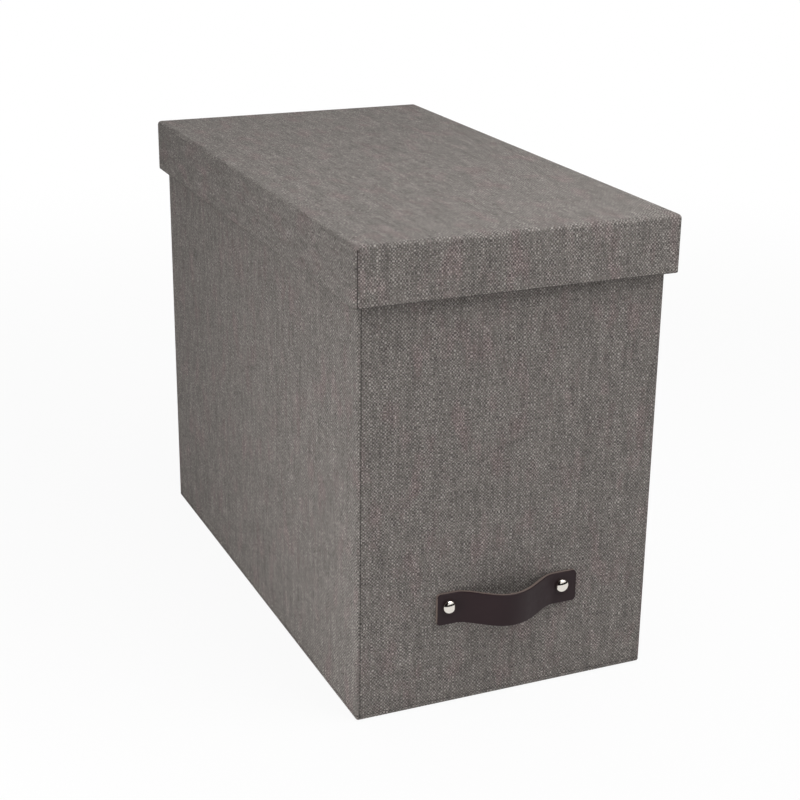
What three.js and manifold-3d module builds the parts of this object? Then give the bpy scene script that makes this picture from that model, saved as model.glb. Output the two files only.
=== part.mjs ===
import * as THREE from 'three';
import { mergeVertices } from 'three/addons/utils/BufferGeometryUtils.js';
import Module from 'manifold-3d';

// A lidded document box of board wrapped in canvas, with a leather pull strap on its front end.
// Sizes are in millimetres: X is the width, Y the length and Z the height.
// The origin is the middle of the base, and the front end, with the strap, faces -Y.

const wasm = await Module();
wasm.setup();

// Body: an open tray of wrapped board, outside sizes
const bodyWidth = 171;
const bodyLength = 323;
const bodyHeight = 255;
const bodyWall = 3;
const bodyFloor = 3;

// Lid: it rests on the rim, and its skirt hangs around the body with some play
const lidTop = 3;
const lidWall = 3;
const lidSidePlay = 1.5;
const lidEndPlay = 3;
const skirtDrop = 28;

// Folds of the wrapped board: long outer edges, upright corners, and the turned rim and skirt edge
const foldRadius = 2;
const cornerExtra = 0.2;
const rimRadius = 0.8;

// Pull strap: flat on the wall at both ends, and arched between the rivets for a finger
const strapLength = 82;
const strapWidth = 18;
const strapThickness = 2;
const strapCentreHeight = 56.8;
const strapCornerRadius = 2;
const strapEdgeRadius = 0.4;
const archRise = 13.9;
const archPeak = -3.3;
const archFootGap = 0.8;

// Rivets: a domed head with a post, and a cap that closes on the post inside the wall.
// The pair sits a little to the left of the strap's middle, and a little above it.
const rivetSpacing = 66.6;
const rivetShift = -1;
const rivetRise = 1.4;
const headDiameter = 7.6;
const headHeight = 2.8;
const headBand = 0.5;
const postDiameter = 3;
const postReach = 1;
const postClearance = 0.3;
const capDiameter = 8;
const capWall = 0.8;
const capBand = 0.4;

// Facets of the curved stretches
const foldSegments = 5;
const archSegments = 36;
const strapCornerSegments = 6;
const roundSegments = 32;
const domeSegments = 7;

// How far a cutter or a blank runs past the surface that it meets
const overrun = 5;

// Corners are set on a grid this fine, in steps to the millimetre, so that faces meet exactly
const gridSteps = 4096;

const bodyFront = -bodyLength / 2;
const rivetLeft = rivetShift - rivetSpacing / 2;
const rivetRight = rivetShift + rivetSpacing / 2;
const rivetHeight = strapCentreHeight + rivetRise;
const boreRadius = postDiameter / 2 + postClearance;

const canvas = { color: 0x9c9188, roughness: 0.92, metalness: 0 };
const leather = { color: 0x33272a, roughness: 0.6, metalness: 0 };
const nickel = { color: 0xc9c6c0, roughness: 0.15, metalness: 1 };

// Turns a closed geometry into a solid: only its positions count, and its corners are merged.
function solidOf(geometry) {
  const positions = geometry.getAttribute('position').array;
  const snapped = positions.map((value) => Math.round(value * gridSteps) / gridSteps);
  const bare = new THREE.BufferGeometry();
  bare.setAttribute('position', new THREE.BufferAttribute(snapped, 3));
  bare.setIndex(geometry.getIndex());
  const merged = mergeVertices(bare);
  const index = merged.getIndex().array;
  const triangles = [];
  for (let i = 0; i < index.length; i += 3) {
    const [a, b, c] = index.slice(i, i + 3);
    if (a !== b && b !== c && c !== a) {
      triangles.push(a, b, c);
    }
  }
  return new wasm.Manifold(new wasm.Mesh({
    numProp: 3,
    vertProperties: merged.getAttribute('position').array,
    triVerts: Uint32Array.from(triangles),
  }));
}

// Turns a solid back into a named mesh with a material of its own.
function meshOf(name, solid, finish) {
  const { vertProperties, triVerts } = solid.getMesh();
  const geometry = new THREE.BufferGeometry();
  geometry.setAttribute('position', new THREE.BufferAttribute(vertProperties, 3));
  geometry.setIndex(new THREE.BufferAttribute(triVerts, 1));
  geometry.computeVertexNormals();
  const mesh = new THREE.Mesh(geometry, new THREE.MeshStandardMaterial(finish));
  mesh.name = name;
  return mesh;
}

// Outline of a rectangle about the origin, with its corners as quarter circles.
function roundedRectangle(width, length, radius, segments) {
  const points = [];
  for (let corner = 0; corner < 4; corner += 1) {
    const sideX = corner === 0 || corner === 3 ? 1 : -1;
    const sideY = corner < 2 ? 1 : -1;
    for (let step = 0; step <= segments; step += 1) {
      const angle = (corner + step / segments) * (Math.PI / 2);
      const x = sideX * (width / 2 - radius) + radius * Math.cos(angle);
      const y = sideY * (length / 2 - radius) + radius * Math.sin(angle);
      points.push(new THREE.Vector2(x, y));
    }
  }
  return new THREE.Shape(points);
}

// Outline of a sharp-cornered rectangle about the origin, as a hole for a wall.
function rectangle(width, length) {
  const path = new THREE.Path();
  path.moveTo(-width / 2, -length / 2);
  path.lineTo(width / 2, -length / 2);
  path.lineTo(width / 2, length / 2);
  path.lineTo(-width / 2, length / 2);
  path.closePath();
  return path;
}

// Prism of an outline between two heights, with both end edges rounded where a radius is given.
function prism(shape, bottom, top, radius = 0) {
  const geometry = new THREE.ExtrudeGeometry(shape, {
    depth: top - bottom - 2 * radius,
    bevelEnabled: radius > 0,
    bevelThickness: radius,
    bevelSize: radius,
    bevelOffset: -radius,
    bevelSegments: foldSegments,
  });
  geometry.translate(0, 0, bottom + radius);
  return solidOf(geometry);
}

// Folded outline of the body or the lid, whose upright corners are a little rounder than its folds.
function foldedOutline(width, length) {
  return roundedRectangle(width, length, foldRadius + cornerExtra, foldSegments);
}

// Walls all round: an outline less the space inside, with the turned edge rounded on both sides.
function wallRing(width, length, insideWidth, insideLength, bottom, top) {
  const outline = foldedOutline(width, length);
  outline.holes.push(rectangle(insideWidth, insideLength));
  return prism(outline, bottom, top, rimRadius);
}

// Round hole along Y for a rivet's post, from one depth to another.
function postBore(x, from, to, z) {
  const bore = new THREE.CylinderGeometry(boreRadius, boreRadius, to - from, roundSegments);
  bore.translate(x, (from + to) / 2, z);
  return solidOf(bore);
}

// Body: the walls and the floor within a block whose lower edges are folded
function makeBody() {
  const insideWidth = bodyWidth - 2 * bodyWall;
  const insideLength = bodyLength - 2 * bodyWall;
  const outline = foldedOutline(bodyWidth, bodyLength);
  const walls = wallRing(bodyWidth, bodyLength, insideWidth, insideLength, -overrun, bodyHeight);
  const floor = prism(outline, -overrun, bodyFloor);
  const block = prism(outline, 0, bodyHeight + overrun, foldRadius);
  let body = walls.add(floor).intersect(block);
  for (const x of [rivetLeft, rivetRight]) {
    const bore = postBore(x, bodyFront - overrun, bodyFront + bodyWall + overrun, rivetHeight);
    body = body.subtract(bore);
  }
  return meshOf('box_body', body, canvas);
}

// Lid: its underside is at its own height 0, where it rests on the rim
function makeLid() {
  const insideWidth = bodyWidth + 2 * lidSidePlay;
  const insideLength = bodyLength + 2 * lidEndPlay;
  const width = insideWidth + 2 * lidWall;
  const length = insideLength + 2 * lidWall;
  const outline = foldedOutline(width, length);
  const skirt = wallRing(width, length, insideWidth, insideLength, -skirtDrop, lidTop + overrun);
  const top = prism(outline, 0, lidTop + overrun);
  const block = prism(outline, -skirtDrop - overrun, lidTop, foldRadius);
  const lid = meshOf('lid', skirt.add(top).intersect(block), canvas);
  lid.position.z = bodyHeight;
  return lid;
}

// How far the strap's back stands off the wall, at a share of the way from the arch's peak to a foot.
// It is a bell curve that meets the wall flat, and the slope is along X for a foot that far away.
function archOf(share, reach) {
  const rest = 1 - share * share;
  return { lift: archRise * rest * rest, slope: (-4 * archRise * share * rest) / reach };
}

// Pull strap: its section seen from above, extruded over its width, with its end corners rounded
function makeStrap() {
  const halfLength = strapLength / 2;
  const leftFoot = rivetLeft + headDiameter / 2 + archFootGap;
  const rightFoot = rivetRight - headDiameter / 2 - archFootGap;
  const back = [new THREE.Vector2(-halfLength, 0)];
  const front = [new THREE.Vector2(-halfLength, -strapThickness)];
  for (let step = 0; step <= archSegments; step += 1) {
    const share = (2 * step) / archSegments - 1;
    const reach = share < 0 ? archPeak - leftFoot : rightFoot - archPeak;
    const x = archPeak + share * reach;
    const { lift, slope } = archOf(share, reach);
    const depth = strapThickness / Math.hypot(1, slope);
    back.push(new THREE.Vector2(x, -lift));
    front.push(new THREE.Vector2(x - depth * slope, -lift - depth));
  }
  back.push(new THREE.Vector2(halfLength, 0));
  front.push(new THREE.Vector2(halfLength, -strapThickness));
  const section = new THREE.Shape([...front, ...back.reverse()]);

  const plate = new THREE.ExtrudeGeometry(
    roundedRectangle(strapLength, strapWidth, strapCornerRadius, strapCornerSegments),
    { depth: archRise + strapThickness + 2 * overrun, bevelEnabled: false },
  );
  plate.rotateX(Math.PI / 2);
  plate.translate(0, overrun, 0);

  let strap = prism(section, -strapWidth / 2, strapWidth / 2, strapEdgeRadius).intersect(solidOf(plate));
  for (const x of [rivetLeft, rivetRight]) {
    strap = strap.subtract(postBore(x, -strapThickness - overrun, overrun, rivetRise));
  }
  const mesh = meshOf('pull_strap', strap, leather);
  mesh.position.set(0, bodyFront, strapCentreHeight);
  return mesh;
}

// Half an ellipse from a band's edge to the axis, as the profile of a domed head.
function dome(radius, band, height) {
  const points = [];
  for (let step = 0; step < domeSegments; step += 1) {
    const angle = (step / domeSegments) * (Math.PI / 2);
    const y = -band - (height - band) * Math.sin(angle);
    points.push(new THREE.Vector2(radius * Math.cos(angle), y));
  }
  points.push(new THREE.Vector2(0, -height));
  return points;
}

// Rivet: its head lies on the strap, and its post passes the strap and the wall
function makeRivet(name, x) {
  const postLength = strapThickness + bodyWall + postReach;
  const profile = [
    new THREE.Vector2(0, postLength),
    new THREE.Vector2(postDiameter / 2, postLength),
    new THREE.Vector2(postDiameter / 2, 0),
    new THREE.Vector2(headDiameter / 2, 0),
    ...dome(headDiameter / 2, headBand, headHeight),
  ];
  const rivet = meshOf(name, solidOf(new THREE.LatheGeometry(profile.reverse(), roundSegments)), nickel);
  rivet.position.set(x, bodyFront - strapThickness, rivetHeight);
  return rivet;
}

// Rivet cap: a small cup that takes the post's end and lies on the wall's inner face
function makeCap(name, x) {
  const socketDepth = postReach + postClearance;
  const capHeight = socketDepth + capWall;
  const profile = [
    new THREE.Vector2(0, -socketDepth),
    new THREE.Vector2(boreRadius, -socketDepth),
    new THREE.Vector2(boreRadius, 0),
    new THREE.Vector2(capDiameter / 2, 0),
    ...dome(capDiameter / 2, capBand, capHeight),
  ];
  const cap = new THREE.LatheGeometry(profile.reverse(), roundSegments);
  cap.rotateZ(Math.PI);
  const mesh = meshOf(name, solidOf(cap), nickel);
  mesh.position.set(x, bodyFront + bodyWall, rivetHeight);
  return mesh;
}

const box = new THREE.Group();
box.name = 'box';
box.add(makeBody());
box.add(makeStrap());
box.add(makeRivet('rivet_left', rivetLeft));
box.add(makeRivet('rivet_right', rivetRight));
box.add(makeCap('rivet_cap_left', rivetLeft));
box.add(makeCap('rivet_cap_right', rivetRight));

const documentBox = new THREE.Group();
documentBox.name = 'document_box';
documentBox.add(box);
documentBox.add(makeLid());

export default documentBox;
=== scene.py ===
import math
from typing import NamedTuple

import bmesh
import bpy
from mathutils import Matrix, Vector


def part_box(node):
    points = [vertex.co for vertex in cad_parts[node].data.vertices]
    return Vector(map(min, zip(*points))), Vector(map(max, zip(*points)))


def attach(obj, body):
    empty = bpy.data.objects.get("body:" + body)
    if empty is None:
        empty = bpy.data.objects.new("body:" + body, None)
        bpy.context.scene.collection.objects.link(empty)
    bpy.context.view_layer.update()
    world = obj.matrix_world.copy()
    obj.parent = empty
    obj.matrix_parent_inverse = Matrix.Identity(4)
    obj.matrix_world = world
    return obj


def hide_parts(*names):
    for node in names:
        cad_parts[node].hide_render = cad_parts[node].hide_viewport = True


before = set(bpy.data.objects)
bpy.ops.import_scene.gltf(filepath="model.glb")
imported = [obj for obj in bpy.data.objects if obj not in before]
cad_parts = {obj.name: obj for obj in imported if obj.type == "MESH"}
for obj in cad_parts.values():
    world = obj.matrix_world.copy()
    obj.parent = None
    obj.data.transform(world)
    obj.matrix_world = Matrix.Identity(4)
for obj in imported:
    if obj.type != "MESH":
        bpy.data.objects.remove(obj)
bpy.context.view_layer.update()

# Sizes are in metres, in the row's frame: X is the width, Y the length and Z the height.
MM = 0.001

BODY_LOW, BODY_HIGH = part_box("box_body")
LID_LOW, LID_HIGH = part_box("lid")
STRAP_LOW, STRAP_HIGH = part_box("pull_strap")
STRAP_MIDDLE = (STRAP_LOW.z + STRAP_HIGH.z) / 2
RIVET_BOXES = {side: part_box("rivet_" + side) for side in ("left", "right")}
CAP_BOXES = {side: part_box("rivet_cap_" + side) for side in ("left", "right")}
RIVET_PLACES = {side: (low + high) / 2 for side, (low, high) in RIVET_BOXES.items()}

# Wrapped board: canvas outside and turned in over the edges, paper inside and under the base
WALL = 3 * MM
FOLD_RADIUS = 2.6 * MM
BASE_FOLD_RADIUS = 1.3 * MM
CORNER_RADIUS = 1.6 * MM
INNER_CORNER_RADIUS = 0.6 * MM
RIM_RADIUS = 0.8 * MM
CORNER_STEPS = 8
FOLD_STEPS = 8
RIM_STEPS = 4
TURN_IN = 9 * MM
PAPER_THICKNESS = 0.2 * MM
BASE_PAPER_INSET = 6 * MM
BASE_PAPER_THICKNESS = 0.25 * MM

# Seams of the canvas: on the front and the back, an open line beside each upright corner, which is
# a shallow groove with painted shade along it. Its depth and its painted shade are full on the left
# side, -1, and faint on the right side, 1.
SEAM_HALF_WIDTH = 0.3 * MM
SEAM_DEPTH = 0.35 * MM
SEAM_STRENGTH = {-1: 1.0, 1: 0.3}

# A crease in the canvas runs round the body above its base.
CREASE_HEIGHT = 2.8 * MM
CREASE_HALF_WIDTH = 0.4 * MM
CREASE_DEPTH = 0.3 * MM

# Painted shade in the crease and along the skirt's bottom edge, where 1 is as dark as a full seam
CREASE_PAINTED_SHADE = 0.45
RIM_PAINTED_SHADE = 1.0

# Pull strap: flat at both rivets, and arched between them with its peak left of the middle. The
# leather is pressed down in a ring round each rivet's head.
STRAP_THICKNESS = 2 * MM
STRAP_CORNER_RADIUS = 2 * MM
STRAP_FACE_ROUNDING = 0.5 * MM
STRAP_BACK_ROUNDING = 0.25 * MM
ARCH_RISE = BODY_LOW.y - STRAP_LOW.y - STRAP_THICKNESS
ARCH_PEAK = -3.3 * MM
ARCH_FOOT_GAP = 0.8 * MM
LEFT_FOOT = RIVET_BOXES["left"][1].x + ARCH_FOOT_GAP
RIGHT_FOOT = RIVET_BOXES["right"][0].x - ARCH_FOOT_GAP
STRAP_STATIONS = 150
STRAP_END_STEPS = 8
STRAP_FACE_STEPS = 20
STRAP_EDGE_STEPS = 4
DIMPLE_DEPTH = 0.22 * MM
DIMPLE_RADIUS = 4.4 * MM
DIMPLE_WIDTH = 1.0 * MM

# Rivets: a head and a cap are each a short band with a dome on it, and the post goes into the cap.
HEAD_BAND = 0.5 * MM
POST_RADIUS = 1.5 * MM
POST_REACH = 1 * MM
POST_CLEARANCE = 0.3 * MM
CAP_BAND = 0.4 * MM
ROUND_STEPS = 64
DOME_STEPS = 16
ON_AXIS = 1e-7

# The slots of the pieces' materials
WOVEN, PLAIN = 0, 1
FACE, EDGE, BACK = 0, 1, 2

# Where two faces meet more sharply than this, in degrees, the edge between them is shown sharp.
SHARP_ANGLE = 32.0
STRAP_SHARP_ANGLE = 50.0

# Camera: a focal length in pixels of the square frame, a place and three angles
FRAME_PIXELS = 800
SENSOR_WIDTH = 36
FOCAL_PIXELS = 1671.32
CAMERA_PLACE = Vector((-0.3737, -0.8685, 0.4590))
CAMERA_AZIMUTH = math.radians(23.73)
CAMERA_TILT = math.radians(20.11)
CAMERA_ROLL = math.radians(-0.70)
CLIP_NEAR = 0.01
CLIP_FAR = 50.0

# Floor: white where the camera or a mirror sees it. Near the object a veil of that white lies
# over the lit floor, which keeps the object's shadow faint, and far away it covers the floor.
FLOOR_SIZE = 12.0
FLOOR_DROP = 0.2 * MM
FLOOR_COLOUR = (0.86, 0.86, 0.86)
SHADOW_VEIL = 0.93
VEIL_NEAR = 0.45
VEIL_FAR = 1.2

# World: white where the camera or a mirror sees it, and a weaker white light on everything
WHITE = (1.0, 1.0, 1.0)
AMBIENT = 0.30

# Dark card: a curved screen round the front of the studio, with a window towards the key lamp.
# Only shiny surfaces pick it up. Its angles are in degrees, from the front to the right and upwards.
CARD_RADIUS = 2.6
CARD_SWEEP = (-150, 110)
CARD_RISE = (0, 80)
CARD_STEP = 5
WINDOW_SWEEP = (-20, 75)
WINDOW_RISE = (20, 80)
CARD_COLOUR = (0.012, 0.010, 0.010)


# The mix node has sockets for each kind of value. These are the ones for colours.
MIX_FACTOR, MIX_A, MIX_B = 0, 6, 7
MIX_RESULT = 2


class Noise(NamedTuple):
    """A noise over two values: their scales, its swing, the layer it is cut from, and its grain."""

    scales: tuple
    swing: float = 1.0
    layer: float = 0.0
    detail: float = 2.0
    roughness: float = 0.5


class Shader:
    """A node tree, with short calls for the nodes that the finishes are made of."""

    def __init__(self, owner, output="ShaderNodeOutputMaterial"):
        owner.use_nodes = True
        self.owner = owner
        self.tree = owner.node_tree
        self.tree.nodes.clear()
        self.output = self.tree.nodes.new(output)

    def put(self, value, socket):
        """Links another node's socket, or sets a number, a vector or a colour of three numbers."""
        if isinstance(value, bpy.types.NodeSocket):
            self.tree.links.new(value, socket)
        elif socket.type == "RGBA":
            socket.default_value = (*value, 1.0)
        else:
            socket.default_value = value

    def node(self, kind, inputs=(), **settings):
        made = self.tree.nodes.new(kind)
        for name, value in settings.items():
            setattr(made, name, value)
        for name, value in dict(inputs).items():
            self.put(value, made.inputs[name])
        return made

    def math(self, operation, a, b=None, c=None):
        inputs = {index: value for index, value in enumerate((a, b, c)) if value is not None}
        return self.node("ShaderNodeMath", inputs, operation=operation).outputs[0]

    def mix(self, factor, a, b, blend="MIX"):
        inputs = {MIX_FACTOR: factor, MIX_A: a, MIX_B: b}
        made = self.node("ShaderNodeMix", inputs, data_type="RGBA", blend_type=blend)
        return made.outputs[MIX_RESULT]

    def toned(self, colour, factor):
        """A colour times a factor, or times another colour."""
        return self.mix(1.0, colour, factor, "MULTIPLY")

    def times(self, value, factor):
        return self.math("MULTIPLY", value, factor)

    def scaled(self, value, low, high):
        """A value between 0 and 1 spread over another range."""
        return self.math("MULTIPLY_ADD", value, high - low, low)

    def around(self, value, swing, middle=1.0):
        """A value between 0 and 1 as one that swings round a middle value."""
        return self.math("MULTIPLY_ADD", value, swing, middle - swing / 2)

    def ramp(self, value, start, end, low=0.0, high=1.0, curve="LINEAR"):
        """What goes from low to high while a value goes from start to end."""
        inputs = {"Value": value, "From Min": start, "From Max": end, "To Min": low, "To Max": high}
        return self.node("ShaderNodeMapRange", inputs, interpolation_type=curve).outputs[0]

    def vector(self, x=0.0, y=0.0, z=0.0):
        return self.node("ShaderNodeCombineXYZ", {"X": x, "Y": y, "Z": z}).outputs[0]

    def noise(self, vector, scale, detail=2.0, roughness=0.5):
        inputs = {"Vector": vector, "Scale": scale, "Detail": detail, "Roughness": roughness}
        return self.node("ShaderNodeTexNoise", inputs).outputs["Fac"]

    def stretched(self, a, b, noise):
        """A noise over two values, between 0 and 1."""
        place = self.vector(self.times(a, noise.scales[0]), self.times(b, noise.scales[1]), noise.layer)
        return self.noise(place, 1.0, noise.detail, noise.roughness)

    def swung(self, a, b, noise, middle=1.0):
        """A noise over two values, as one that swings round a middle value."""
        return self.around(self.stretched(a, b, noise), noise.swing, middle)

    def random(self, x, y):
        """A number between 0 and 1 for each pair of whole numbers."""
        inputs = {"Vector": self.vector(x, y)}
        return self.node("ShaderNodeTexWhiteNoise", inputs, noise_dimensions="2D").outputs["Value"]

    def place(self):
        return self.node("ShaderNodeTexCoord").outputs["Object"]

    def cloth(self):
        """Where a point lies on its cloth: across the warp, along it, and how much painted shade it has
        there.
        """
        attribute = self.node("ShaderNodeAttribute", attribute_name="cloth")
        parts = self.node("ShaderNodeSeparateXYZ", {"Vector": attribute.outputs["Vector"]})
        return parts.outputs["X"], parts.outputs["Y"], parts.outputs["Z"]

    def bump(self, height, distance, strength):
        inputs = {"Height": height, "Distance": distance, "Strength": strength}
        return self.node("ShaderNodeBump", inputs).outputs["Normal"]

    def seen_directly(self):
        """1 for rays from the camera, and for those that a mirror or glass sends on."""
        path = self.node("ShaderNodeLightPath")
        seen = self.math("MAXIMUM", path.outputs["Is Camera Ray"], path.outputs["Is Glossy Ray"])
        return self.math("MAXIMUM", seen, path.outputs["Is Transmission Ray"])

    def surface(self, shader):
        """Makes a shader the surface, and gives back the material or the world."""
        self.tree.links.new(shader, self.output.inputs["Surface"])
        return self.owner

    def principled(self, **inputs):
        named = {name.replace("_", " "): value for name, value in inputs.items()}
        return self.surface(self.node("ShaderNodeBsdfPrincipled", named).outputs[0])


# Canvas: a plain weave of two tones, with slubs, soft streaks and slightly warm and cool threads.
# The warp is the paler and streakier, and stands upright on the walls. Scales are in 1/m, but
# a slub's first scale is for the number of its thread.
# Painted shade darkens the hollows between threads, the seams, the crease and the skirt's edge.
WARP_PITCH = 0.925 * MM
WEFT_PITCH = 0.98 * MM
WARP_COLOUR = (0.283, 0.261, 0.243)
WEFT_COLOUR = (0.147, 0.130, 0.121)

# Heather: where this noise is high, between the two values, the cloth goes from cool to warm.
HEATHER = Noise((85.0, 36.0), layer=7.9, detail=3.0, roughness=0.6)
WARM_FROM = 0.52
WARM_TO = 0.66
COOL_TINT = (0.993, 1.001, 0.998)
WARM_TINT = (1.054, 0.969, 0.993)

# These two pairs swing a thread's place, in thread pitches.
SWAY_U = Noise((240.0, 40.0), swing=2.6)
SWAY_V = Noise((240.0, 40.0), swing=2.6, layer=0.37)
JITTER_U = Noise((900.0, 600.0), swing=1.3, layer=1.9, detail=1.0)
JITTER_V = Noise((600.0, 900.0), swing=1.3, layer=6.3, detail=1.0)

# These swing its tone, as a factor round 1.
WARP_SLUB = Noise((5.37, 55.0), swing=1.2)
WEFT_SLUB = Noise((3.71, 55.0), swing=1.1, layer=4.1)
STREAK = Noise((300.0, 34.0), swing=0.50, layer=2.3, detail=3.0, roughness=0.6)
PATCH = Noise((130.0, 60.0), swing=0.30, layer=5.2, detail=3.0, roughness=0.6)
KNUCKLE_SWING = 0.5
FIBRE_SWING = 0.25
FIBRE_SCALE = 2600.0

# A thread is round: its crown is higher than the hollows beside it, with painted light on the
# crown and painted shade in the hollows.
CROWN_POWER = 0.45
HOLLOW_PAINTED_SHADE = 0.62
CROWN_PAINTED_LIGHT = 1.12

# What fibres add to a thread's height, next to its crown, and how far slubs swing the crown
FIBRE_RELIEF = 0.25
SLUB_RELIEF = 0.8

# Painted shade: the share of its colour that the canvas loses in a full seam
FULL_PAINTED_SHADE = 0.8


def canvas_material():
    s = Shader(bpy.data.materials.new("canvas_weave"))
    u, v, shade = s.cloth()
    shift_u = s.math("ADD", s.swung(u, v, SWAY_U, 0.0), s.swung(u, v, JITTER_U, 0.0))
    shift_v = s.math("ADD", s.swung(v, u, SWAY_V, 0.0), s.swung(u, v, JITTER_V, 0.0))
    across = s.math("ADD", s.math("DIVIDE", u, WARP_PITCH), shift_u)
    along = s.math("ADD", s.math("DIVIDE", v, WEFT_PITCH), shift_v)
    warp_number = s.math("FLOOR", across)
    weft_number = s.math("FLOOR", along)
    warp_up = s.math("FLOORED_MODULO", s.math("ADD", warp_number, weft_number), 2.0)
    warp_arc = s.math("ABSOLUTE", s.math("SINE", s.times(across, math.pi)))
    weft_arc = s.math("ABSOLUTE", s.math("SINE", s.times(along, math.pi)))
    crown = s.math("POWER", s.math("MULTIPLY", warp_arc, weft_arc), CROWN_POWER)

    warp_slub = s.stretched(warp_number, v, WARP_SLUB)
    weft_slub = s.stretched(weft_number, u, WEFT_SLUB)
    warp_tone = s.toned(WARP_COLOUR, s.around(warp_slub, WARP_SLUB.swing))
    weft_tone = s.toned(WEFT_COLOUR, s.around(weft_slub, WEFT_SLUB.swing))
    fibre = s.noise(s.vector(u, v), FIBRE_SCALE, 1.0)
    warmth = s.ramp(s.stretched(u, v, HEATHER), WARM_FROM, WARM_TO)

    colour = s.mix(warp_up, weft_tone, warp_tone)
    # Among these tones are the painted light and shade of the threads and the painted shade of seams,
    # crease and skirt's edge.
    tones = (
        s.around(s.random(warp_number, weft_number), KNUCKLE_SWING),
        s.swung(u, v, STREAK),
        s.swung(u, v, PATCH),
        s.around(fibre, FIBRE_SWING),
        s.scaled(crown, HOLLOW_PAINTED_SHADE, CROWN_PAINTED_LIGHT),
        s.mix(warmth, COOL_TINT, WARM_TINT),
        s.scaled(shade, 1.0, 1.0 - FULL_PAINTED_SHADE),
    )
    for tone in tones:
        colour = s.toned(colour, tone)

    thread_relief = s.math("MULTIPLY", crown, s.around(warp_slub, SLUB_RELIEF))
    relief = s.math("MULTIPLY_ADD", fibre, FIBRE_RELIEF, thread_relief)
    return s.principled(
        Base_Color=colour,
        Roughness=s.scaled(fibre, low=0.80, high=0.98),
        Specular_IOR_Level=0.25,
        Normal=s.bump(relief, distance=0.22 * MM, strength=0.75),
    )


# Lining paper: plain, warm and pale grey, with short fibres
PAPER_DARK = (0.300, 0.280, 0.262)
PAPER_LIGHT = (0.385, 0.362, 0.340)


def paper_material():
    s = Shader(bpy.data.materials.new("lining_paper"))
    place = s.place()
    fibre = s.noise(place, scale=900.0, detail=4.0, roughness=0.7)
    cloud = s.noise(place, scale=25.0)
    colour = s.mix(fibre, PAPER_DARK, PAPER_LIGHT)
    return s.principled(
        Base_Color=s.toned(colour, s.scaled(cloud, low=0.95, high=1.05)),
        Roughness=s.scaled(fibre, low=0.82, high=0.95),
        Specular_IOR_Level=0.3,
        Normal=s.bump(fibre, distance=0.03 * MM, strength=0.6),
    )


# Leather face: fine pebbled grain, with slow changes of depth and of gloss
LEATHER_DARK = (0.015, 0.0065, 0.0085)
LEATHER_LIGHT = (0.023, 0.0110, 0.0135)
LEATHER_CREASE = (0.045, 0.029, 0.030)
LEATHER_CREASE_SHARE = 0.25
LEATHER_CREASE_RELIEF = 0.6
PEBBLE_SCALE = 1500.0
PEBBLE_TOP = 0.55
PEBBLE_ROUNDING = 0.2


def leather_material():
    s = Shader(bpy.data.materials.new("strap_leather_face"))
    place = s.place()
    cells = s.node("ShaderNodeTexVoronoi", {"Vector": place, "Scale": PEBBLE_SCALE, "Randomness": 1.0})
    pebble = s.math("SMOOTH_MIN", cells.outputs["Distance"], PEBBLE_TOP, PEBBLE_ROUNDING)
    crease = s.noise(place, scale=420.0, detail=4.0, roughness=0.6)
    cloud = s.noise(place, scale=60.0, detail=3.0)
    colour = s.mix(cloud, LEATHER_DARK, LEATHER_LIGHT)
    colour = s.mix(s.times(crease, LEATHER_CREASE_SHARE), colour, LEATHER_CREASE)
    relief = s.math("MULTIPLY_ADD", crease, LEATHER_CREASE_RELIEF, pebble)
    return s.principled(
        Base_Color=colour,
        Roughness=s.scaled(crease, low=0.44, high=0.66),
        Specular_IOR_Level=0.25,
        Normal=s.bump(relief, distance=0.05 * MM, strength=0.6),
    )


# Leather's cut edge: lighter, with fibres along the strip
CUT_EDGE_DARK = (0.100, 0.075, 0.066)
CUT_EDGE_LIGHT = (0.250, 0.195, 0.170)
CUT_EDGE_STRETCH = (0.25, 1.0, 1.0)


def leather_edge_material():
    s = Shader(bpy.data.materials.new("strap_leather_edge"))
    place = s.node("ShaderNodeMapping", {"Vector": s.place(), "Scale": CUT_EDGE_STRETCH}).outputs[0]
    fibre = s.noise(place, scale=2200.0, detail=3.0, roughness=0.6)
    return s.principled(
        Base_Color=s.mix(fibre, CUT_EDGE_DARK, CUT_EDGE_LIGHT),
        Roughness=0.8,
        Specular_IOR_Level=0.3,
        Normal=s.bump(fibre, distance=0.06 * MM, strength=0.7),
    )


# Leather's back: the napped flesh side
NAP_DARK = (0.050, 0.034, 0.030)
NAP_LIGHT = (0.110, 0.078, 0.068)


def leather_back_material():
    s = Shader(bpy.data.materials.new("strap_leather_back"))
    nap = s.noise(s.place(), scale=1800.0, detail=4.0, roughness=0.7)
    return s.principled(
        Base_Color=s.mix(nap, NAP_DARK, NAP_LIGHT),
        Roughness=0.95,
        Specular_IOR_Level=0.2,
        Normal=s.bump(nap, distance=0.08 * MM, strength=0.8),
    )


# Nickel: bright plate with faint turned marks and handling haze
NICKEL_DARK = (0.70, 0.66, 0.60)
NICKEL_LIGHT = (0.78, 0.745, 0.69)


def nickel_material():
    s = Shader(bpy.data.materials.new("nickel_plate"))
    place = s.place()
    haze = s.noise(place, scale=500.0, detail=3.0)
    marks = s.noise(place, scale=3000.0)
    return s.principled(
        Base_Color=s.mix(haze, NICKEL_DARK, NICKEL_LIGHT),
        Metallic=1.0,
        Roughness=s.scaled(haze, low=0.06, high=0.16),
        Normal=s.bump(marks, distance=0.004 * MM, strength=0.4),
    )


CANVAS = canvas_material()
PAPER = paper_material()
LEATHER = leather_material()
LEATHER_EDGE = leather_edge_material()
LEATHER_BACK = leather_back_material()
NICKEL = nickel_material()


def new_object(name, data):
    made = bpy.data.objects.new(name, data)
    bpy.context.scene.collection.objects.link(made)
    return made


def kept(name, mesh):
    """A bmesh, kept as a mesh of Blender's own."""
    made = bpy.data.meshes.new(name)
    mesh.to_mesh(made)
    mesh.free()
    return made


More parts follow.
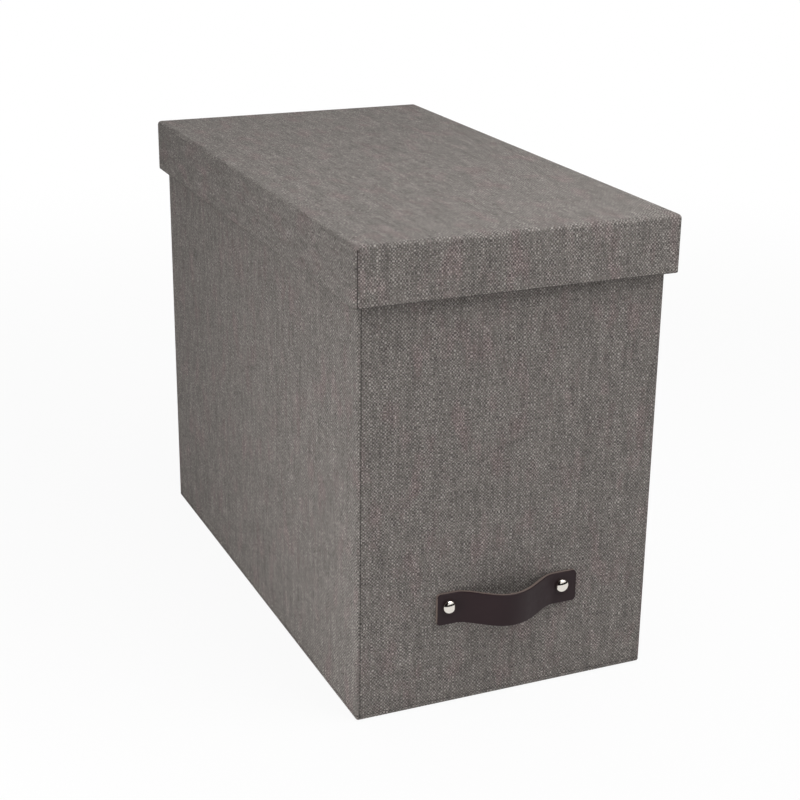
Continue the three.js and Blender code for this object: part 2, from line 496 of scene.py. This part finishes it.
def kept_closed(name, mesh):
    """The same for a closed form, with its faces turned outwards."""
    bmesh.ops.recalc_face_normals(mesh, faces=mesh.faces)
    return kept(name, mesh)


def piece(name, mesh, materials, body, node):
    """A finished mesh as a piece that rides on a body in the place of a CAD node."""
    for material in materials:
        mesh.materials.append(material)
    made = new_object(name, mesh)
    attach(made, body)
    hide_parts(node)
    return made


def smooth(obj, angle=SHARP_ANGLE):
    """Round stretches shade as round, and flat faces stay flat beside them."""
    mesh = obj.data
    mesh.polygons.foreach_set("use_smooth", [True] * len(mesh.polygons))
    mesh.set_sharp_from_angle(angle=math.radians(angle))
    weighted = obj.modifiers.new("flat_faces_first", "WEIGHTED_NORMAL")
    weighted.keep_sharp = True
    weighted.weight = 100


# Wrapped shells are lofted through rings, each a rectangle with round corners at its own height.
class Station(NamedTuple):
    """A point of every ring: its corner, its angle round it, and its distance from it in X."""

    side_x: int
    side_y: int
    angle: float
    step: float = 0.0
    is_seam: bool = False


class Row(NamedTuple):
    """A ring of a shell: how far inside the outline it lies, its height, and how it is covered."""

    inset: float
    z: float
    material: int = WOVEN
    seam_depth: float = 0.0
    shade: float = 0.0


def ring_stations():
    """A ring's points in order, from the left side's front end, with seams at front and back."""
    stations = []

    def corner_points(side_x, side_y, start):
        for step in range(CORNER_STEPS + 1):
            angle = start + math.pi / 2 * step / CORNER_STEPS
            stations.append(Station(side_x, side_y, angle))

    def seam_points(side_x, side_y, angle, steps):
        for step in steps:
            stations.append(Station(side_x, side_y, angle, step, step == SEAM_HALF_WIDTH))

    leaving = (SEAM_HALF_WIDTH, 2 * SEAM_HALF_WIDTH)
    arriving = (2 * SEAM_HALF_WIDTH, SEAM_HALF_WIDTH)
    corner_points(-1, -1, math.pi)
    seam_points(-1, -1, 1.5 * math.pi, leaving)
    seam_points(1, -1, 1.5 * math.pi, arriving)
    corner_points(1, -1, 1.5 * math.pi)
    corner_points(1, 1, 0.0)
    seam_points(1, 1, 0.5 * math.pi, leaving)
    seam_points(-1, 1, 0.5 * math.pi, arriving)
    corner_points(-1, 1, 0.5 * math.pi)
    return stations


STATIONS = ring_stations()
SEAMS = [index for index, station in enumerate(STATIONS) if station.is_seam]


def ring(half, inset, z, seam_depth=0.0):
    """The points of one ring. half is the outside half width and half length."""
    radius = max(CORNER_RADIUS - inset, INNER_CORNER_RADIUS)
    points = []
    for side_x, side_y, angle, step, is_seam in STATIONS:
        x = side_x * (half[0] - inset - radius - step) + radius * math.cos(angle)
        y = side_y * (half[1] - inset - radius) + radius * math.sin(angle)
        if is_seam:
            y -= side_y * seam_depth * SEAM_STRENGTH[side_x]
        points.append(Vector((x, y, z)))
    return points


def distances_round(half):
    """For each stretch between two points of a ring: its first point, its panel and its two ends.

    A panel runs from seam to seam, and the ends are distances along it from its middle.
    """
    outline = ring(half, 0.0, 0.0)
    count = len(outline)
    stretches = []
    bounds = SEAMS[1:] + SEAMS[:1]
    for panel, start, end in zip(("front", "right", "back", "left"), SEAMS, bounds):
        indices = [start]
        while indices[-1] != end:
            indices.append((indices[-1] + 1) % count)
        run = [0.0]
        for a, b in zip(indices, indices[1:]):
            run.append(run[-1] + (outline[b] - outline[a]).length)
        middle = run[-1] / 2
        for a, near, far in zip(indices, run, run[1:]):
            stretches.append((a, panel, near - middle, far - middle))
    return sorted(stretches)


def shell(name, half, profile, cloth_at):
    """Lofts a shell through the profile's rows, in order, and closes it flat at both ends.

    Each face corner keeps its place on the cloth, and how much painted shade the cloth has there.
    """
    mesh = bmesh.new()
    cloth = mesh.loops.layers.float_vector.new("cloth")
    stretches = distances_round(half)
    rings = []
    for row in profile:
        points = ring(half, row.inset, row.z, row.seam_depth)
        rings.append([mesh.verts.new(point) for point in points])
    travelled = 0.0
    for low, high, first, second in zip(rings, rings[1:], profile, profile[1:]):
        reached = travelled + math.hypot(second.inset - first.inset, second.z - first.z)
        beside_seam = first.seam_depth + second.seam_depth > 0
        for index, panel, near, far in stretches:
            following = (index + 1) % len(STATIONS)
            face = mesh.faces.new((low[index], low[following], high[following], high[index]))
            face.material_index = second.material
            spots = (
                (index, near, travelled, first),
                (following, far, travelled, first),
                (following, far, reached, second),
                (index, near, reached, second),
            )
            for loop, (place, distance, depth, row) in zip(face.loops, spots):
                shade = row.shade
                if STATIONS[place].is_seam and beside_seam:
                    shade = SEAM_STRENGTH[STATIONS[place].side_x]
                loop[cloth] = Vector((*cloth_at(panel, distance, depth), shade))
        travelled = reached
    for points, row in ((rings[0], profile[0]), (rings[-1], profile[-1])):
        face = mesh.faces.new(points)
        face.material_index = row.material
        for loop in face.loops:
            loop[cloth] = Vector((loop.vert.co.x, loop.vert.co.y, 0.0))
    return kept_closed(name, mesh)


def arc(inset, z, radius, start, end, steps):
    """Places on an arc in a wall's section, as (inset, z), after its start and up to its end.

    The centre is at (inset, z). The angles are in degrees, where 180 is outwards and 90 is up.
    """
    places = []
    for step in range(1, steps + 1):
        angle = math.radians(start + (end - start) * step / steps)
        places.append((inset + radius * math.cos(angle), z + radius * math.sin(angle)))
    return places


def body_profile(height):
    """Rows from the middle of the base, out and up the wall, over the rim and down inside."""
    fold, rim = BASE_FOLD_RADIUS, RIM_RADIUS
    canvas_base = BASE_PAPER_THICKNESS
    lining = WALL + PAPER_THICKNESS
    turned_to = height - TURN_IN
    rows = [
        Row(BASE_PAPER_INSET, 0.0, PLAIN),
        Row(BASE_PAPER_INSET, canvas_base, PLAIN),
        Row(fold, canvas_base),
    ]
    rows += [Row(*place) for place in arc(fold, canvas_base + fold, fold, -90, -180, FOLD_STEPS)]
    # Up the wall, past the crease with its painted shade, to the rim
    rows += [
        Row(0.0, CREASE_HEIGHT - CREASE_HALF_WIDTH, seam_depth=SEAM_DEPTH),
        Row(CREASE_DEPTH, CREASE_HEIGHT, seam_depth=SEAM_DEPTH, shade=CREASE_PAINTED_SHADE),
        Row(0.0, CREASE_HEIGHT + CREASE_HALF_WIDTH, seam_depth=SEAM_DEPTH),
        Row(0.0, height - rim, seam_depth=SEAM_DEPTH),
    ]
    rows += [Row(*place) for place in arc(rim, height - rim, rim, 180, 90, RIM_STEPS)]
    rows += [Row(WALL - rim, height)]
    rows += [Row(*place) for place in arc(WALL - rim, height - rim, rim, 90, 0, RIM_STEPS)]
    rows += [
        Row(WALL, turned_to),
        Row(lining, turned_to - PAPER_THICKNESS / 2, PLAIN),
        Row(lining, lining + PAPER_THICKNESS, PLAIN),
        Row(lining + PAPER_THICKNESS, lining, PLAIN),
    ]
    return rows


def lid_profile(top, under, bottom):
    """Rows from the middle of the top, over the fold, down the skirt, round its edge and up inside."""
    fold, rim = FOLD_RADIUS, RIM_RADIUS
    lining = WALL + PAPER_THICKNESS
    turned_to = bottom + TURN_IN
    over_the_fold = arc(fold, top - fold, fold, 90, 180, FOLD_STEPS)
    under_the_edge = arc(rim, bottom + rim, rim, 180, 270, RIM_STEPS)
    up_inside = arc(WALL - rim, bottom + rim, rim, 270, 360, RIM_STEPS)
    rows = [Row(fold, top)]
    rows += [Row(*place) for place in over_the_fold[:-1]]
    rows += [Row(*over_the_fold[-1], seam_depth=SEAM_DEPTH)]
    rows += [Row(0.0, bottom + rim, seam_depth=SEAM_DEPTH)]
    # Painted shade along the skirt's bottom edge, growing towards its underside
    for step, place in enumerate(under_the_edge, 1):
        rows.append(Row(*place, shade=RIM_PAINTED_SHADE * math.sqrt(step / RIM_STEPS)))
    rows += [Row(WALL - rim, bottom, shade=RIM_PAINTED_SHADE)]
    rows += [Row(*place) for place in up_inside]
    rows += [
        Row(WALL, turned_to),
        Row(lining, turned_to + PAPER_THICKNESS / 2, PLAIN),
        Row(lining, under - PAPER_THICKNESS, PLAIN),
        Row(lining + PAPER_THICKNESS, under, PLAIN),
    ]
    return rows


# The body's canvas goes round the walls with its warp upright.
def body_cloth(panel, distance, depth):
    return distance, depth


# The lid's canvas is one sheet, folded down on all sides, with its warp along the length.
def lid_cloth(half):
    def cloth_at(panel, distance, depth):
        if panel == "front":
            return distance, -half[1] - depth
        if panel == "back":
            return -distance, half[1] + depth
        if panel == "right":
            return half[0] + depth, distance
        return -half[0] - depth, -distance

    return cloth_at


def bore_cutter(place):
    """A round cutter along Y through the front wall, where a rivet's post passes."""
    mesh = bmesh.new()
    centre = Matrix.Translation((place.x, BODY_LOW.y + WALL / 2, place.z))
    bmesh.ops.create_cone(
        mesh,
        cap_ends=True,
        segments=ROUND_STEPS,
        radius1=POST_RADIUS + POST_CLEARANCE,
        radius2=POST_RADIUS + POST_CLEARANCE,
        depth=4 * WALL,
        matrix=centre @ Matrix.Rotation(math.pi / 2, 4, "X"),
    )
    return new_object("bore", kept("bore", mesh))


def cut_bores(obj):
    """Cuts the two post holes into the front wall for good."""
    cutters = [bore_cutter(place) for place in RIVET_PLACES.values()]
    for cutter in cutters:
        cut = obj.modifiers.new("cut", "BOOLEAN")
        cut.object = cutter
        cut.operation = "DIFFERENCE"
        cut.solver = "EXACT"
    bpy.context.view_layer.update()
    evaluated = obj.evaluated_get(bpy.context.evaluated_depsgraph_get())
    cut_mesh = bpy.data.meshes.new_from_object(evaluated)
    obj.modifiers.clear()
    obj.data = cut_mesh
    for cutter in cutters:
        bpy.data.objects.remove(cutter)


def make_body():
    half = (BODY_HIGH.x, BODY_HIGH.y)
    mesh = shell("wrapped_body", half, body_profile(BODY_HIGH.z), body_cloth)
    body = piece("wrapped_body", mesh, (CANVAS, PAPER), "box", "box_body")
    cut_bores(body)
    smooth(body)


def make_lid():
    half = (LID_HIGH.x, LID_HIGH.y)
    fold_half = (half[0] - FOLD_RADIUS, half[1] - FOLD_RADIUS)
    profile = lid_profile(top=LID_HIGH.z, under=BODY_HIGH.z, bottom=LID_LOW.z)
    mesh = shell("wrapped_lid", half, profile, lid_cloth(fold_half))
    smooth(piece("wrapped_lid", mesh, (CANVAS, PAPER), "lid", "lid"))


def arch(x):
    """How far the strap's back stands off the wall at x, and the slope there."""
    reach = ARCH_PEAK - LEFT_FOOT if x < ARCH_PEAK else RIGHT_FOOT - ARCH_PEAK
    share = (x - ARCH_PEAK) / reach
    if abs(share) >= 1:
        return 0.0, 0.0
    rest = 1 - share * share
    return ARCH_RISE * rest * rest, -4 * ARCH_RISE * share * rest / reach


def strap_section():
    """The strap's section as (share of the half width, inset from the edge, height), in order."""
    top, face, back = STRAP_THICKNESS, STRAP_FACE_ROUNDING, STRAP_BACK_ROUNDING
    angles = [math.pi / 2 * step / STRAP_EDGE_STEPS for step in range(STRAP_EDGE_STEPS + 1)]
    side = [(back - back * math.sin(angle), back - back * math.cos(angle)) for angle in angles]
    side += [(face - face * math.cos(angle), top - face + face * math.sin(angle)) for angle in angles]
    points = [(-1, inset, height) for inset, height in side]
    points += [(-1 + 2 * step / STRAP_FACE_STEPS, 0.0, top) for step in range(1, STRAP_FACE_STEPS)]
    points += [(1, inset, height) for inset, height in reversed(side)]
    return points


def strap_stations(half_length):
    """Places along the strap, close together on the round end corners."""
    angles = [math.pi / 2 * step / STRAP_END_STEPS for step in range(STRAP_END_STEPS + 1)]
    ends = [STRAP_CORNER_RADIUS * (1 - math.cos(angle)) for angle in angles]
    middle_start = -half_length + STRAP_CORNER_RADIUS
    middle = [middle_start * (1 - 2 * step / STRAP_STATIONS) for step in range(1, STRAP_STATIONS)]
    left = [-half_length + end for end in ends]
    right = [half_length - end for end in reversed(ends)]
    return left + middle + right


def narrowing(from_end):
    """How far the round end corners take the strap's edges in, at a distance from its end."""
    if from_end >= STRAP_CORNER_RADIUS:
        return 0.0
    rest = STRAP_CORNER_RADIUS - from_end
    return STRAP_CORNER_RADIUS - math.sqrt(max(STRAP_CORNER_RADIUS**2 - rest**2, 0.0))


def dimple(x, across):
    """How far the strap's face sinks at a place, from the rings round both rivets' heads."""
    depth = 0.0
    for place in RIVET_PLACES.values():
        reach = math.hypot(x - place.x, across + STRAP_MIDDLE - place.z)
        away = (reach - DIMPLE_RADIUS) / DIMPLE_WIDTH
        depth += DIMPLE_DEPTH * math.exp(-away * away)
    return depth


def strap_loop(x, half_width, section):
    """The points round the strap at x, where its half width is given."""
    lift, slope = arch(x)
    normal = Vector((-slope, -1.0, 0.0)).normalized()
    foot = Vector((x, BODY_LOW.y - lift, STRAP_MIDDLE))
    points = []
    for share, inset, height in section:
        across = share * half_width - math.copysign(inset, share)
        sunk = dimple(x, across) if height == STRAP_THICKNESS else 0.0
        points.append(foot + normal * (height - sunk) + Vector((0, 0, across)))
    return points


def make_strap():
    half_length = (STRAP_HIGH.x - STRAP_LOW.x) / 2
    half_width = (STRAP_HIGH.z - STRAP_LOW.z) / 2
    section = strap_section()
    mesh = bmesh.new()
    loops = []
    for x in strap_stations(half_length):
        points = strap_loop(x, half_width - narrowing(half_length - abs(x)), section)
        loops.append([mesh.verts.new(point) for point in points])
    count = len(section)
    edge_rows = STRAP_EDGE_STEPS + 1
    for low, high in zip(loops, loops[1:]):
        for index in range(count):
            following = (index + 1) % count
            face = mesh.faces.new((low[index], low[following], high[following], high[index]))
            if following == 0:
                face.material_index = BACK
            elif index < edge_rows or index >= count - edge_rows - 1:
                face.material_index = EDGE
            else:
                face.material_index = FACE
    for end in (loops[0], loops[-1]):
        mesh.faces.new(end).material_index = EDGE
    materials = (LEATHER, LEATHER_EDGE, LEATHER_BACK)
    made = kept_closed("leather_pull", mesh)
    strap = piece("leather_pull", made, materials, "box", "pull_strap")
    smooth(strap, STRAP_SHARP_ANGLE)


def dome(radius, band, height):
    """A domed head's profile as (radius, distance out), from the band's edge to the axis."""
    points = []
    for step in range(DOME_STEPS + 1):
        angle = math.pi / 2 * step / DOME_STEPS
        points.append((radius * math.cos(angle), band + (height - band) * math.sin(angle)))
    return points


def turned(name, profile, seat, outward):
    """A closed body turned about Y. The profile runs from axis to axis, and outward is -1 or 1."""
    mesh = bmesh.new()
    rings = []
    for radius, distance in profile:
        centre = seat + Vector((0, outward * distance, 0))
        if radius < ON_AXIS:
            rings.append([mesh.verts.new(centre)])
            continue
        points = []
        for step in range(ROUND_STEPS):
            angle = 2 * math.pi * step / ROUND_STEPS
            spoke = Vector((math.cos(angle), 0, math.sin(angle)))
            points.append(mesh.verts.new(centre + spoke * radius))
        rings.append(points)
    for low, high in zip(rings, rings[1:]):
        for step in range(ROUND_STEPS):
            following = (step + 1) % ROUND_STEPS
            corners = [low[step % len(low)], low[following % len(low)]]
            corners += [high[following % len(high)], high[step % len(high)]]
            mesh.faces.new(list(dict.fromkeys(corners)))
    return kept_closed(name, mesh)


def make_rivet(side):
    low, high = RIVET_BOXES[side]
    radius = (high.x - low.x) / 2
    seat = Vector((RIVET_PLACES[side].x, BODY_LOW.y - STRAP_THICKNESS, RIVET_PLACES[side].z))
    post = high.y - seat.y
    profile = [(0.0, -post), (POST_RADIUS, -post), (POST_RADIUS, 0.0), (radius, 0.0)]
    mesh = turned("rivet_" + side, profile + dome(radius, HEAD_BAND, seat.y - low.y), seat, -1)
    smooth(piece("bright_rivet_" + side, mesh, (NICKEL,), "box", "rivet_" + side))


def make_cap(side):
    low, high = CAP_BOXES[side]
    radius = (high.x - low.x) / 2
    socket = POST_REACH + POST_CLEARANCE
    bore = POST_RADIUS + POST_CLEARANCE
    seat = Vector((RIVET_PLACES[side].x, low.y, RIVET_PLACES[side].z))
    profile = [(0.0, socket), (bore, socket), (bore, 0.0), (radius, 0.0)]
    mesh = turned("cap_" + side, profile + dome(radius, CAP_BAND, high.y - low.y), seat, 1)
    smooth(piece("bright_cap_" + side, mesh, (NICKEL,), "box", "rivet_cap_" + side))


def floor_material():
    s = Shader(bpy.data.materials.new("pale_floor"))
    away = s.node("ShaderNodeVectorMath", {0: s.place()}, operation="LENGTH").outputs["Value"]
    veil = s.ramp(away, VEIL_NEAR, VEIL_FAR, low=SHADOW_VEIL, high=1.0, curve="SMOOTHSTEP")
    factor = s.math("MULTIPLY", veil, s.seen_directly())
    lit = s.node("ShaderNodeBsdfDiffuse", {"Color": FLOOR_COLOUR}).outputs[0]
    white = s.node("ShaderNodeEmission", {"Color": WHITE, "Strength": 1.0}).outputs[0]
    return s.surface(s.node("ShaderNodeMixShader", {0: factor, 1: lit, 2: white}).outputs[0])


def make_floor():
    mesh = bmesh.new()
    bmesh.ops.create_grid(mesh, x_segments=1, y_segments=1, size=FLOOR_SIZE / 2)
    floor = new_object("floor", kept("floor", mesh))
    floor.data.materials.append(floor_material())
    floor.location.z = -FLOOR_DROP


def make_world():
    world = bpy.data.worlds.new("studio")
    bpy.context.scene.world = world
    s = Shader(world, "ShaderNodeOutputWorld")
    light = s.node("ShaderNodeBackground", {"Color": WHITE, "Strength": AMBIENT}).outputs[0]
    white = s.node("ShaderNodeBackground", {"Color": WHITE, "Strength": 1.0}).outputs[0]
    s.surface(s.node("ShaderNodeMixShader", {0: s.seen_directly(), 1: light, 2: white}).outputs[0])


def make_lamp(name, place, target, size, power, mirrored=True):
    lamp = bpy.data.lights.new(name, "AREA")
    lamp.shape = "RECTANGLE"
    lamp.size, lamp.size_y = size
    lamp.energy = power
    obj = new_object(name, lamp)
    obj.location = place
    obj.rotation_euler = (Vector(target) - Vector(place)).to_track_quat("-Z", "Y").to_euler()
    obj.visible_glossy = mirrored


def make_lamps():
    make_lamp(
        "key_above_front", place=(0.24, -0.42, 0.70), target=(0.04, -0.12, 0.17),
        size=(0.45, 0.45), power=2.5,
    )
    make_lamp(
        "over_the_top", place=(0.05, -0.15, 0.95), target=(0.02, -0.10, 0.20),
        size=(0.50, 0.50), power=2.3,
    )
    make_lamp(
        "low_left", place=(-0.50, -0.24, 0.04), target=(-0.09, -0.10, 0.03),
        size=(0.30, 0.20), power=1.6, mirrored=False,
    )
    make_lamp(
        "front_fill", place=(0.35, -0.75, 0.25), target=(0.04, -0.16, 0.10),
        size=(0.40, 0.30), power=0.25, mirrored=False,
    )
    make_lamp(
        "back_fill", place=(-0.30, 1.30, 0.80), target=(0.0, 0.15, 0.12),
        size=(0.80, 0.80), power=3.0, mirrored=False,
    )


def card_point(turn, rise):
    turn, rise = math.radians(turn), math.radians(rise)
    level = math.cos(rise)
    return Vector((math.sin(turn) * level, -math.cos(turn) * level, math.sin(rise))) * CARD_RADIUS


def within(start, limits):
    return limits[0] <= start < limits[1]


def make_dark_card():
    s = Shader(bpy.data.materials.new("dark_card"))
    s.surface(s.node("ShaderNodeEmission", {"Color": CARD_COLOUR, "Strength": 1.0}).outputs[0])
    corners = ((0, 0), (CARD_STEP, 0), (CARD_STEP, CARD_STEP), (0, CARD_STEP))
    mesh = bmesh.new()
    for turn in range(*CARD_SWEEP, CARD_STEP):
        for rise in range(*CARD_RISE, CARD_STEP):
            if within(turn, WINDOW_SWEEP) and within(rise, WINDOW_RISE):
                continue
            mesh.faces.new([mesh.verts.new(card_point(turn + a, rise + b)) for a, b in corners])
    card = new_object("dark_card", kept("dark_card", mesh))
    card.data.materials.append(s.owner)
    card.visible_camera = False
    card.visible_diffuse = False
    card.visible_transmission = False
    card.visible_shadow = False


def make_camera():
    camera = bpy.data.cameras.new("camera")
    camera.sensor_width = SENSOR_WIDTH
    camera.lens = FOCAL_PIXELS / FRAME_PIXELS * SENSOR_WIDTH
    camera.clip_start = CLIP_NEAR
    camera.clip_end = CLIP_FAR
    ahead_x, ahead_y = math.sin(CAMERA_AZIMUTH), math.cos(CAMERA_AZIMUTH)
    level = math.cos(CAMERA_TILT)
    forward = Vector((ahead_x * level, ahead_y * level, -math.sin(CAMERA_TILT)))
    level_right = Vector((ahead_y, -ahead_x, 0.0))
    level_up = level_right.cross(forward)
    right = level_right * math.cos(CAMERA_ROLL) - level_up * math.sin(CAMERA_ROLL)
    up = level_up * math.cos(CAMERA_ROLL) + level_right * math.sin(CAMERA_ROLL)
    turn = Matrix((right, up, -forward)).transposed().to_4x4()
    obj = new_object("camera", camera)
    obj.matrix_world = Matrix.Translation(CAMERA_PLACE) @ turn
    bpy.context.scene.camera = obj


make_body()
make_lid()
make_strap()
for side_name in RIVET_BOXES:
    make_rivet(side_name)
    make_cap(side_name)

make_floor()
make_world()
make_dark_card()
make_lamps()
make_camera()
bpy.context.scene.view_settings.view_transform = "Standard"
